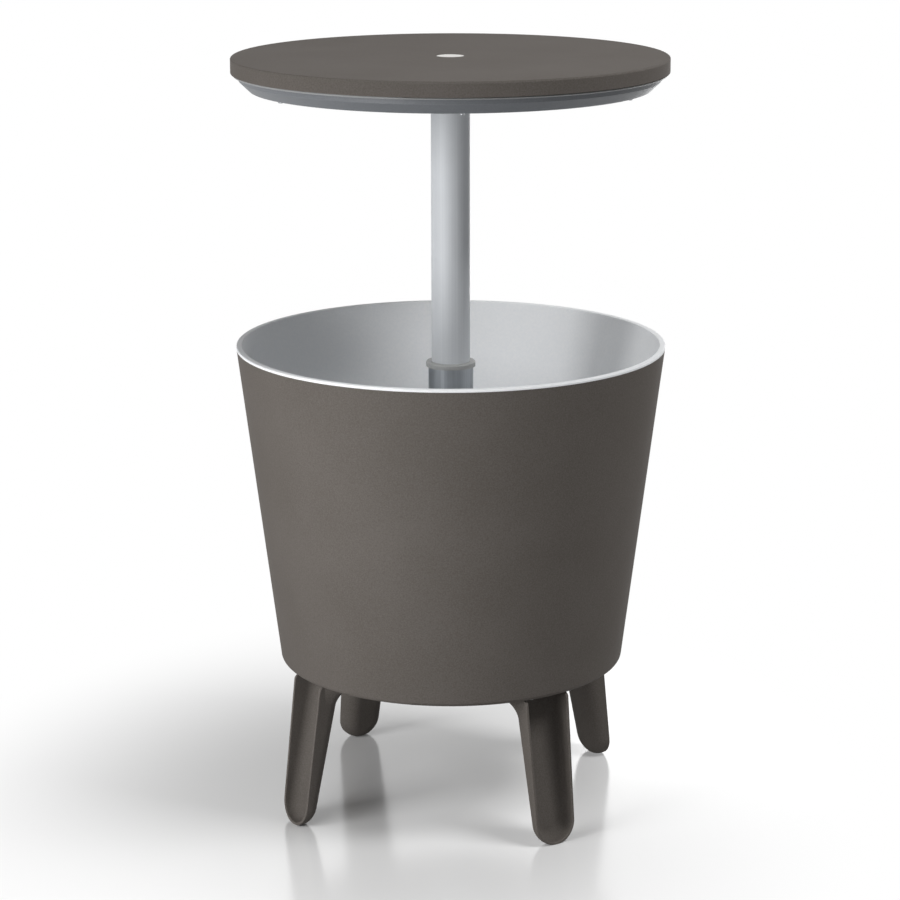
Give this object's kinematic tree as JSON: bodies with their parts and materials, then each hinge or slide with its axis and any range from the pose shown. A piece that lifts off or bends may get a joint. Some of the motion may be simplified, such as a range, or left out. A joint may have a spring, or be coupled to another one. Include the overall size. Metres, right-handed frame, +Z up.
{
  "type": "cooler bar table",
  "caption": "Round tapered cooler tub on splayed scoop legs, with a round table top that is also its lid, raised and lowered on a central pole with a twist lock.",
  "frame": {"origin": "on the ground under the middle of the tub", "axes": "+Z up along the pole, -Y to the front, the legs at 45 degrees between X and Y, the drain towards +Y"},
  "size_m": [0.4949, 0.495, 0.875],
  "materials": {
    "taupe_plastic": "matte",
    "liner_plastic": "satin",
    "pan_plastic": "satin",
    "cap_plastic": "satin",
    "pole_aluminium": "satin",
    "guide_aluminium": "satin",
    "bush_plastic": "satin",
    "seal_rubber": "matte",
    "screw_steel": "satin"
  },
  "bodies": {
    "tub": {"outer_shell": "taupe_plastic", "inner_liner": "liner_plastic", "leg_front_left": "taupe_plastic", "leg_front_right": "taupe_plastic", "leg_rear_left": "taupe_plastic", "leg_rear_right": "taupe_plastic", "leg_screws": "screw_steel", "guide_tube": "guide_aluminium", "guide_collar": "bush_plastic", "guide_base": "bush_plastic", "guide_seal": "seal_rubber", "guide_nut": "bush_plastic", "guide_end_plug": "bush_plastic", "drain_spout": "bush_plastic", "drain_gasket": "seal_rubber", "drain_nut": "bush_plastic"},
    "lock_carriage": {"brake_shoe_left": "bush_plastic", "brake_shoe_right": "bush_plastic", "shoe_band": "seal_rubber"},
    "table": {"tabletop": "taupe_plastic", "lid_pan": "pan_plastic", "lid_screws": "screw_steel", "centre_cap": "cap_plastic", "centre_bolt": "screw_steel", "centre_washer": "screw_steel", "pole": "pole_aluminium", "pole_top_plug": "bush_plastic", "lock_cam": "bush_plastic", "cam_washer": "screw_steel", "cam_screw": "screw_steel"},
    "drain_plug": {"drain_plug": "seal_rubber", "drain_plug_ring": "seal_rubber"}
  },
  "joints": [
    {"name": "table_lift", "type": "slide", "parent": "tub", "child": "lock_carriage", "axis": [0, 0, 1], "range_m": [-0.309, 0]},
    {"name": "table_twist", "type": "hinge", "parent": "lock_carriage", "child": "table", "pos_m": [0, 0, 0.4627], "axis": [0, 0, 1], "range_deg": [-90, 0]},
    {"name": "drain_pull", "type": "slide", "parent": "tub", "child": "drain_plug", "axis": [0, 0, -1], "range_m": [0, 0.07]}
  ]
}
